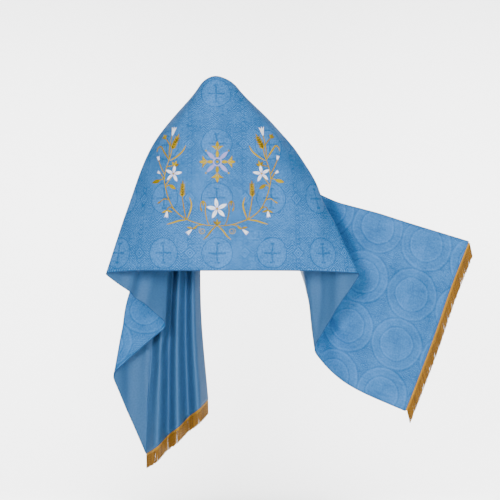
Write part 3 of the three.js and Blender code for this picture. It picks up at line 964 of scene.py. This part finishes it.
# Stem stitch: its usual width, the points along and across, the height as a share of the thread's, how
# bluntly it widens, and the pitch, the depth and the slant of its turns
STEM_WIDTH = 3.0
STEM_STEP = 1.0
STEM_ACROSS = 7
STEM_HEIGHT = 0.85
STEM_BLUNTNESS = 0.6
STEM_TWIST = 3.2
TWIST_DEPTH = 0.22
TWIST_SLANT = 1.6
# Knots: the points round and out, the smallest ring, the height as a share, and the lobes and their depth
KNOT_AROUND = 13
KNOT_OUT = 5
KNOT_HOLE = 0.02
KNOT_HEIGHT = 1.5
KNOT_LOBES = 4
LOBE_DEPTH = 0.1

# Stems: the points that each runs through
STEMS = [
    [(0, 2), (45, 7), (96, 24), (132, 52), (152, 88), (163, 125), (167, 152), (161, 185), (152, 212)],
    [(152, 212), (152, 240), (149, 262), (143, 290)],
    [(152, 212), (147, 228), (143, 246)],
    [(150, 258), (158, 272), (168, 284)],
    [(96, 24), (103, 55), (109, 94)],
    [(132, 52), (146, 62), (155, 58), (157, 48)],
    [(40, 7), (60, 4), (76, -6)],
    [(167, 152), (178, 150), (184, 146)],
    [(163, 125), (155, 130), (148, 132)],
    [(166, 165), (178, 188), (186, 208)],
    [(167, 152), (174, 160), (178, 168)],
    [(159, 190), (146, 192), (136, 192)],
    [(164, 130), (152, 146), (143, 158)],
    [(24, 5), (31, 20), (37, 48), (36, 70), (44, 80), (51, 72), (52, 60)],
    [(150, 84), (166, 88), (178, 80)],
]
# Long blades: the points that each runs through
BLADES = [
    [(152, 210), (169, 238), (182, 257), (192, 252), (195, 240)],
    [(150, 208), (128, 221), (109, 238), (99, 256)],
    [(94, 22), (84, 48), (80, 70), (86, 92)],
    [(94, 22), (120, 19), (140, 13), (158, 8)],
    [(0, 6), (18, -12), (30, -28), (43, -40)],
]
BLADE_WIDTH = 5.5
BLADE_ENDS = 0.25
STEM_ENDS = 0.7
# Leaves of gold thread: foot, direction in degrees, length and width
Leaf = namedtuple("Leaf", "foot direction length width")
GOLD_LEAVES = [
    Leaf((182, 147), -12, 27, 13),
    Leaf((150, 132), 215, 24, 12),
    Leaf((134, 190), 150, 15, 7),
    Leaf((134, 192), 110, 17, 7),
    Leaf((136, 192), 70, 14, 7),
    Leaf((166, 283), 20, 13, 8),
    Leaf((167, 284), 65, 14, 7),
    Leaf((168, 283), 110, 12, 6),
    Leaf((157, 52), 200, 18, 6),
    Leaf((157, 52), -25, 18, 6),
    Leaf((76, -6), 160, 14, 6),
    Leaf((78, -4), 10, 16, 6),
    Leaf((52, 60), 250, 13, 5),
    Leaf((44, 79), 265, 15, 5),
    Leaf((178, 168), 40, 8, 5),
    Leaf((186, 208), 60, 8, 5),
    Leaf((178, 80), -30, 12, 5),
]
MIDDLE_SPRIG = [Leaf((0, 8), 90, 17, 7), Leaf((2, 7), 48, 14, 6), Leaf((-2, 7), 132, 14, 6)]
# Buds and bells of white thread: foot, direction of the middle petal, length and width of the whole
WHITE_BUDS = [
    Leaf((143, 288), 102, 30, 15),
    Leaf((157, 50), -82, 21, 13),
    Leaf((78, -8), -40, 22, 13),
    Leaf((187, 210), 78, 16, 10),
    Leaf((179, 168), 35, 14, 10),
]
# A bud's petals: their directions in degrees, their width as a share and their bow for each degree
BUD_SPREADS = (-15, 15, 0)
BUD_WIDTH = 0.42
BUD_BOW = -0.004
BUD_VEIN = 0.5
BUD_VEIN_WIDTH = 1.6
# Flowers: middle, radius and turn in degrees. As shares of the radius, where a petal starts, its length and
# width and its outline's length, how far its vein runs, and the knot's radius
Flower = namedtuple("Flower", "middle radius turn")
SIDE_FLOWER = Flower((138, 167), 25, 100)
MIDDLE_FLOWER = Flower((0, 56), 30, 98)
PETALS = 5
PETAL_START = 0.12
PETAL_LENGTH = 0.95
PETAL_WIDTH = 0.4
PETAL_OUTLINE = 1.1
PETAL_FULLNESS = 0.95
VEIN_END = 0.6
VEIN_WIDTH = 2.4
VEIN_ENDS = 0.5
FLOWER_KNOT = 0.13
# Ears of wheat: foot, direction in degrees, length and width. As shares of these, how far the pairs of
# grains reach, a grain's length, how much shorter each next pair is, and a grain's width
WHEAT_EARS = [Leaf((143, 246), 116, 52, 19), Leaf((109, 94), 92, 50, 19)]
EAR_PAIRS = 5
EAR_REACH = 0.8
GRAIN_LENGTH = 0.3
GRAIN_SHORTER = 0.015
GRAIN_WIDTH = 0.2
GRAIN_SPREAD = 38
GRAIN_SPLIT = 0.2
# The grain at the tip and the dark leaf of painted shade under an ear, which darkens the gaps between its
# grains: where each starts, its length and its width, as shares
EAR_TIP = Leaf(0.74, 0, 0.28, 0.22)
EAR_GROUND = Leaf(0, 0, 0.9, 0.75)
# The tendril: a spiral's middle, its radius at both ends, where it starts and how far it turns
TENDRIL_MIDDLE = (46, -13)
TENDRIL_RADII = (11, 3)
TENDRIL_START = 60
TENDRIL_TURN = 560
TENDRIL_STEPS = 30
TENDRIL_WIDTH = 2.4
TENDRIL_ENDS = 0.6
# The middle ornament: each part's distance from its middle, direction, length and width. The arms that lie
# level are shorter than the upright ones, and each ends in a bloom with a leaf and a vein on both sides.
ORNAMENT_MIDDLE = (0, 203)
LEVEL_ARM = (Leaf(13, 0, 20, 11), Leaf(31, 0, 25, 13))
UPRIGHT_ARM = (Leaf(13, 0, 24, 11), Leaf(35, 0, 30, 13))
ARM_SPLIT = 0.4
SIDE_LEAF = Leaf(0, 52, 24, 8)
SIDE_LEAF_BOW = -0.16
SIDE_VEIN = Leaf(0, 20.05, 15, 1.8)
BETWEEN_PETAL = Leaf(12, 45, 34, 13)
BETWEEN_KNOT = 50
SMALL_KNOT = 3.2
MIDDLE_KNOT = 5
RING_RADIUS = 12
RING_WIDTH = 5
RING_STEPS = 37


def mirrored(point, side):
    return (point[0] * side, point[1])


def turned(direction, side):
    return direction if side > 0 else 180 - direction


def moved(point, direction, distance):
    """The point at a distance from another, in a direction in degrees. It also takes arrays."""
    angle = np.radians(direction)
    return point[0] + distance * np.cos(angle), point[1] + distance * np.sin(angle)


class Stitchwork:
    """Grids of stitches, drawn flat in millimetres, until they are laid on the cloth."""

    def __init__(self, height=THREAD_HEIGHT):
        self.height = height
        self.points = []
        self.faces = []
        self.count = 0

    def add_grid(self, x, z, height):
        x, z, height = np.broadcast_arrays(x, z, height)
        self.points.append(np.stack([x, z, height], axis=-1).reshape(-1, 3))
        self.faces += grid_faces(*x.shape, self.count, flip=True)
        self.count += x.size

    def leaf(self, foot, direction, length, width, bow=0.0, split=0.55, fullness=0.85, under=None):
        """A leaf or petal of satin stitch, in two halves with a furrow between them. Its bow is a share of
        its length, and a fullness under 1 has it widest before the middle. Under takes its outline, a dark
        rim of painted shade."""
        if under:
            wider = moved(foot, direction, -OUTLINE)
            under.leaf(wider, direction, length + 2 * OUTLINE, width + 2 * OUTLINE, bow, 0, fullness)
        rows = max(FEWEST_ROWS, 2 * int(length / STITCH_ROWS) + 1)
        along = np.linspace(0.0, 1.0, rows)[:, None]
        across = np.linspace(-1.0, 1.0, LEAF_ACROSS)[None]
        half = width / 2 * np.maximum(np.sin(np.pi * along ** fullness), LEAF_ENDS) ** LEAF_BLUNTNESS
        off = across * half + bow * length * np.sin(np.pi * along)
        crown = np.sqrt(np.maximum(1 - across ** 2, 0))
        furrow = split * np.exp(-(across / FURROW_WIDTH) ** 2)
        thread = THREAD_DEPTH * (np.arange(rows)[:, None] % 2)
        height = self.height * crown * (1 - furrow - thread)
        self.add_grid(*moved(moved(foot, direction, along * length), direction + 90, off), height)

    def line(self, points, width, ends=1.0, under=None):
        """A line of stem stitch through some points. Ends is its width at both ends, as a share. Under takes
        its outline, a dark rim of painted shade."""
        if under:
            under.line(points, width + 2 * OUTLINE, ends)
        path = smooth_path(np.array(points, float), STEM_STEP)
        run = distances(path)
        step = np.gradient(path, axis=0)
        side = unit(np.stack([-step[:, 1], step[:, 0]], axis=-1))
        share = run / run[-1]
        half = width / 2 * (ends + (1 - ends) * np.sin(np.pi * share) ** STEM_BLUNTNESS)[:, None]
        across = np.linspace(-1.0, 1.0, STEM_ACROSS)[None]
        wave = 1 + TWIST_DEPTH * np.sin(2 * np.pi * run[:, None] / STEM_TWIST + TWIST_SLANT * across)
        height = self.height * STEM_HEIGHT * np.sqrt(np.maximum(1 - across ** 2, 0)) * wave
        off = across * half
        self.add_grid(path[:, :1] + off * side[:, :1], path[:, 1:] + off * side[:, 1:], height)

    def knot(self, middle, radius):
        """A round knot of thread."""
        turn = np.linspace(0, 360, KNOT_AROUND)[None]
        out = np.linspace(KNOT_HOLE, 1, KNOT_OUT)[:, None]
        lobes = 1 + LOBE_DEPTH * np.sin(np.radians(KNOT_LOBES * turn))
        height = self.height * KNOT_HEIGHT * np.sqrt(np.maximum(1 - out ** 2, 0)) * lobes
        self.add_grid(*moved(middle, turn, radius * out), height)

    def lay(self, name, material):
        """Lays the stitches on the back of the cloth."""
        drawn = np.concatenate(self.points)
        x = WREATH_FOOT[0] + MM * drawn[:, 0]
        z = WREATH_FOOT[1] + MM * drawn[:, 1]
        places, shares = on_back(x, z)
        surface = FIRST_GAP + bpy.context.scene.veil_sizes.brocade_thickness
        points = cloth(places, shares, surface + MM * (drawn[:, 2] - SURFACE_SINK))
        return add_object(name, points, self.faces, material)


def smooth_path(points, step):
    """A Catmull-Rom curve through some points of the plane, sampled about a step apart."""
    ends = np.concatenate([2 * points[:1] - points[1:2], points, 2 * points[-1:] - points[-2:-1]])
    path = []
    for p0, p1, p2, p3 in zip(ends, ends[1:], ends[2:], ends[3:]):
        count = max(2, int(np.linalg.norm(p2 - p1) / step))
        t = np.linspace(0, 1, count, endpoint=False)[:, None]
        path.append(0.5 * (2 * p1 + (p2 - p0) * t + (2 * p0 - 5 * p1 + 4 * p2 - p3) * t ** 2
                           + (3 * p1 - p0 - 3 * p2 + p3) * t ** 3))
    return np.concatenate(path + [points[-1:]])


# The search for a point on the back: where it starts, from the height of the neck, the veil's width and how
# wide a place is at the neck and lower down, how often it steps, and its longest steps
NECK_HEIGHT = 0.1
PLACE_WIDTH = 0.04
PLACE_WIDENS = 0.14
FIRST_SHARES = (0.02, 0.98)
SEARCH_STEPS = 30
LONGEST_PLACE = 0.5
LONGEST_SHARE = 0.1


def on_back(x, z):
    """The places and shares whose cloth lies at x and z when it is seen from behind."""
    shares = np.clip((NECK_HEIGHT - z) / (WIDE * MM), *FIRST_SHARES)
    places = NUMBERS["back_middle"] - x / (PLACE_WIDTH + PLACE_WIDENS * shares)
    low, high = NUMBERS["right_arm"], NUMBERS["left_arm"]
    for _ in range(SEARCH_STEPS):
        places = np.clip(places, low, high)
        shares = np.clip(shares, 0.0, 1.0)
        here = drape(places, shares)
        by_place, by_share = slopes(places, shares)
        miss_x, miss_z = x - here[:, 0], z - here[:, 2]
        area = by_place[:, 0] * by_share[:, 2] - by_share[:, 0] * by_place[:, 2]
        area = np.where(np.abs(area) < TINY, -TINY, area)
        more_place = (miss_x * by_share[:, 2] - by_share[:, 0] * miss_z) / area
        more_share = (by_place[:, 0] * miss_z - miss_x * by_place[:, 2]) / area
        places = places + np.clip(more_place, -LONGEST_PLACE, LONGEST_PLACE)
        shares = shares + np.clip(more_share, -LONGEST_SHARE, LONGEST_SHARE)
    return np.clip(places, low, high), np.clip(shares, 0.0, 1.0)


class VEIL_OT_embroidery(bpy.types.Operator):
    """Adds the wreath and the middle ornament, stitched on the back"""
    bl_idname = "veil.embroidery"
    bl_label = "Embroidery"

    def execute(self, context):
        colours = context.scene.veil_colours
        stems, leaves, wheat, white, lilac, ornament = (Stitchwork() for _ in range(6))
        # Painted shade: under lays the dark outlines round the gold, shadow the lilac ones round the white
        # petals
        under, shadow = Stitchwork(OUTLINE_HEIGHT), Stitchwork(OUTLINE_HEIGHT)
        for side in (1, -1):
            for points in STEMS:
                stems.line([mirrored(point, side) for point in points], STEM_WIDTH, STEM_ENDS, under)
            for points in BLADES:
                stems.line([mirrored(point, side) for point in points], BLADE_WIDTH, BLADE_ENDS, under)
            turn = np.linspace(TENDRIL_START, TENDRIL_START - TENDRIL_TURN, TENDRIL_STEPS)
            x, z = moved(TENDRIL_MIDDLE, turn, np.linspace(*TENDRIL_RADII, TENDRIL_STEPS))
            stems.line(np.stack([side * x, z], axis=-1), TENDRIL_WIDTH, TENDRIL_ENDS)
            for leaf in GOLD_LEAVES:
                leaves.leaf(mirrored(leaf.foot, side), turned(leaf.direction, side), leaf.length, leaf.width,
                            under=under)
            for ear in WHEAT_EARS:
                self.ear(wheat, under, mirrored(ear.foot, side), turned(ear.direction, side), ear)
            for bud in WHITE_BUDS:
                self.bud(white, lilac, shadow, mirrored(bud.foot, side), turned(bud.direction, side), bud)
            self.flower(white, lilac, shadow, leaves, mirrored(SIDE_FLOWER.middle, side), SIDE_FLOWER.radius,
                        turned(SIDE_FLOWER.turn, side))
        for leaf in MIDDLE_SPRIG:
            leaves.leaf(*leaf, under=under)
        self.flower(white, lilac, shadow, leaves, *MIDDLE_FLOWER)
        self.ornament(ornament, lilac, under)
        gold = rayon_thread("gold_rayon_stitched", colours.gold_thread, 0.62)
        deep_gold = rayon_thread("deep_gold_rayon_stitched", colours.gold_thread, 0.45)
        silver = rayon_thread("lilac_rayon_stitched", colours.lilac_thread, 0.85)
        snow = rayon_thread("white_rayon_stitched", colours.white_thread, 0.9)
        brown = rayon_thread("brown_shade_rayon_stitched", colours.outline_shade_thread, 0.8)
        # Painted shade: the dark outlines under the gold stand for the shade round its raised stitches
        under.lay("gold_shade_outlines", brown)
        # Painted shade: the lilac outlines round the white petals stand for the shade round their raised
        # stitches
        shadow.lay("petal_shade_outlines", silver)
        stems.lay("wreath_stems", gold)
        leaves.lay("wreath_leaves", deep_gold)
        wheat.lay("wheat_ears", deep_gold)
        white.lay("flower_petals", snow)
        lilac.lay("lilac_stitches", silver)
        ornament.lay("middle_ornament", gold)
        return {"FINISHED"}

    def bud(self, white, lilac, shadow, foot, direction, bud):
        """Three white petals with lilac outlines of painted shade, and a lilac vein down the middle one."""
        width = BUD_WIDTH * bud.width
        for spread in BUD_SPREADS:
            bow = BUD_BOW * spread
            white.leaf(foot, direction + spread, bud.length, width, bow)
            shadow.leaf(foot, direction + spread, bud.length + OUTLINE, width + 2 * OUTLINE, bow, split=0)
        lilac.line([foot, moved(foot, direction, BUD_VEIN * bud.length)], BUD_VEIN_WIDTH)

    def flower(self, white, lilac, shadow, gold, middle, radius, turn):
        """Five white petals, each with a lilac vein and a lilac outline of painted shade, round a gold knot.
        """
        width = PETAL_WIDTH * radius
        for petal in range(PETALS):
            direction = turn + 360 / PETALS * petal
            foot = moved(middle, direction, PETAL_START * radius)
            white.leaf(foot, direction, PETAL_LENGTH * radius, width, fullness=PETAL_FULLNESS)
            shadow.leaf(middle, direction, PETAL_OUTLINE * radius + OUTLINE, width + 2 * OUTLINE, split=0,
                        fullness=PETAL_FULLNESS)
            lilac.line([foot, moved(middle, direction, VEIN_END * radius)], VEIN_WIDTH, VEIN_ENDS)
        gold.knot(middle, FLOWER_KNOT * radius)

    def ear(self, wheat, under, foot, direction, ear):
        """An ear of wheat: grains in pairs and one at the tip, over a dark leaf of painted shade that
        darkens the gaps between the grains.
        """
        for pair in range(EAR_PAIRS):
            at = moved(foot, direction, EAR_REACH * ear.length * pair / EAR_PAIRS)
            grain = ear.length * (GRAIN_LENGTH - GRAIN_SHORTER * pair)
            for spread in (-GRAIN_SPREAD, GRAIN_SPREAD):
                wheat.leaf(at, direction + spread, grain, GRAIN_WIDTH * ear.width, split=GRAIN_SPLIT,
                           under=under)
        wheat.leaf(moved(foot, direction, EAR_TIP.foot * ear.length), direction, EAR_TIP.length * ear.length,
                   EAR_TIP.width * ear.width, split=GRAIN_SPLIT, under=under)
        under.leaf(foot, direction, EAR_GROUND.length * ear.length, EAR_GROUND.width * ear.width, split=0)

    def ornament(self, gold, lilac, under):
        """A cross of four flowering arms round a ring, with lilac petals between the arms."""
        middle = ORNAMENT_MIDDLE
        for number in range(4):
            turn = 90 * number
            arm, bloom = UPRIGHT_ARM if number % 2 else LEVEL_ARM
            gold.leaf(moved(middle, turn, arm.foot), turn, arm.length, arm.width, split=ARM_SPLIT,
                      under=under)
            crown = moved(middle, turn, bloom.foot)
            gold.leaf(crown, turn, bloom.length, bloom.width, under=under)
            for side in (-1, 1):
                gold.leaf(crown, turn + side * SIDE_LEAF.direction, SIDE_LEAF.length, SIDE_LEAF.width,
                          bow=side * SIDE_LEAF_BOW, under=under)
                vein_end = moved(crown, turn + side * SIDE_VEIN.direction, SIDE_VEIN.length)
                lilac.line([crown, vein_end], SIDE_VEIN.width, VEIN_ENDS)
            slant = turn + BETWEEN_PETAL.direction
            lilac.leaf(moved(middle, slant, BETWEEN_PETAL.foot), slant, BETWEEN_PETAL.length,
                       BETWEEN_PETAL.width)
            gold.knot(moved(middle, slant, BETWEEN_KNOT), SMALL_KNOT)
        ring = moved(middle, np.linspace(0, 360, RING_STEPS), RING_RADIUS)
        lilac.line(np.stack(ring, axis=-1), RING_WIDTH)
        gold.knot(middle, MIDDLE_KNOT)


# The stage

FLOOR_HEIGHT = -1.5
FLOOR_EDGES = (-6.0, 6.0)
PAPER_EDGES = (-1.8, 2.0)
PAPER_TOP = 4.0
SWEEP_START = 1.6
SWEEP_RADIUS = 1.2
SWEEP_STEPS = 12
CAMERA_DISTANCE = 4.5
CAMERA_PLACE = (0.104, -CAMERA_DISTANCE, -0.447)
FRAME_PIXELS = 500
PIXEL_SIZE = 3.15 * MM
CLOTH_DEPTH = -0.1
SENSOR = 36.0
FARTHEST = 50
WORLD_STRENGTH = 0.38
# Soft boxes: where each stands, what it points at, its size across and up, and its power in watts
Lamp = namedtuple("Lamp", "name place aim size power")
LAMPS = [
    Lamp("key", (-0.8, -4.1, 0.2), (0.1, 0.0, -0.5), (0.8, 0.8), 165),
    Lamp("fill", (2.0, -3.9, -0.2), (0.1, 0.0, -0.5), (0.9, 0.9), 95),
    Lamp("top", (-0.6, -0.6, 2.6), (0.1, 0.0, -0.4), (2.0, 1.6), 25),
    Lamp("backdrop_left", (-1.3, 1.3, -0.3), (-1.1, 2.8, -0.4), (2.0, 3.0), 170),
    Lamp("backdrop_right", (1.5, 1.3, -0.3), (1.3, 2.8, -0.4), (2.0, 3.0), 170),
]


class VEIL_OT_stage(bpy.types.Operator):
    """Adds the floor, the backdrop, the lights and the camera"""
    bl_idname = "veil.stage"
    bl_label = "Stage"

    def execute(self, context):
        material = seamless_paper()
        rows = [(FLOOR_EDGES, y, FLOOR_HEIGHT) for y in (FLOOR_EDGES[0], SWEEP_START)]
        for k in range(SWEEP_STEPS + 1):
            angle = math.pi / 2 * k / SWEEP_STEPS
            rows.append((PAPER_EDGES, SWEEP_START + SWEEP_RADIUS * math.sin(angle),
                         FLOOR_HEIGHT + SWEEP_RADIUS * (1 - math.cos(angle))))
        rows.append((PAPER_EDGES, SWEEP_START + SWEEP_RADIUS, PAPER_TOP))
        points = [(x, y, z) for edges, y, z in rows for x in edges]
        faces = [[2 * k, 2 * k + 1, 2 * k + 3, 2 * k + 2] for k in range(len(rows) - 1) if k != 1]
        mesh = bpy.data.meshes.new("backdrop")
        mesh.from_pydata(points, [], faces)
        mesh.materials.append(material)
        mesh.polygons.foreach_set("use_smooth", [True] * len(faces))
        backdrop = bpy.data.objects.new("backdrop", mesh)
        context.scene.collection.objects.link(backdrop)
        world = bpy.data.worlds.new("studio")
        world.use_nodes = True
        background = world.node_tree.nodes["Background"]
        background.inputs["Color"].default_value = (1, 1, 1, 1)
        background.inputs["Strength"].default_value = WORLD_STRENGTH
        context.scene.world = world
        for lamp in LAMPS:
            light = bpy.data.lights.new(lamp.name, "AREA")
            light.shape = "RECTANGLE"
            light.size, light.size_y = lamp.size
            light.energy = lamp.power
            made = bpy.data.objects.new(lamp.name, light)
            made.location = lamp.place
            way = Vector(lamp.aim) - Vector(lamp.place)
            made.rotation_euler = way.to_track_quat("-Z", "Y").to_euler()
            made.visible_camera = False
            context.scene.collection.objects.link(made)
        camera = bpy.data.cameras.new("camera")
        camera.sensor_width = SENSOR
        camera.lens = SENSOR * (CAMERA_DISTANCE + CLOTH_DEPTH) / (FRAME_PIXELS * PIXEL_SIZE)
        camera.clip_end = FARTHEST
        viewer = bpy.data.objects.new("camera", camera)
        viewer.location = CAMERA_PLACE
        viewer.rotation_euler = (math.pi / 2, 0, 0)
        context.scene.collection.objects.link(viewer)
        context.scene.camera = viewer
        return {"FINISHED"}


class VEIL_PT_panel(bpy.types.Panel):
    """Lists the pieces of the veil"""
    bl_idname = "VEIL_PT_panel"
    bl_label = "Humeral veil"
    bl_space_type = "VIEW_3D"
    bl_region_type = "UI"
    bl_category = "Veil"

    def draw(self, context):
        for group in (context.scene.veil_sizes, context.scene.veil_colours):
            for name in group.bl_rna.properties.keys():
                if name not in {"rna_type", "name"}:
                    self.layout.prop(group, name)
        for operator in OPERATORS:
            self.layout.operator(operator.bl_idname)


OPERATORS = [VEIL_OT_stage, VEIL_OT_brocade, VEIL_OT_lining, VEIL_OT_edge, VEIL_OT_fringe,
             VEIL_OT_embroidery]
CLASSES = [VeilSizes, VeilColours, *OPERATORS, VEIL_PT_panel]


def register():
    for part in CLASSES:
        bpy.utils.register_class(part)
    bpy.types.Scene.veil_sizes = bpy.props.PointerProperty(type=VeilSizes)
    bpy.types.Scene.veil_colours = bpy.props.PointerProperty(type=VeilColours)


def unregister():
    del bpy.types.Scene.veil_colours
    del bpy.types.Scene.veil_sizes
    for part in reversed(CLASSES):
        bpy.utils.unregister_class(part)


def main():
    register()
    bpy.ops.veil.stage()
    bpy.ops.veil.brocade()
    bpy.ops.veil.lining()
    bpy.ops.veil.edge()
    bpy.ops.veil.fringe()
    bpy.ops.veil.embroidery()


if __name__ == "__main__":
    main()
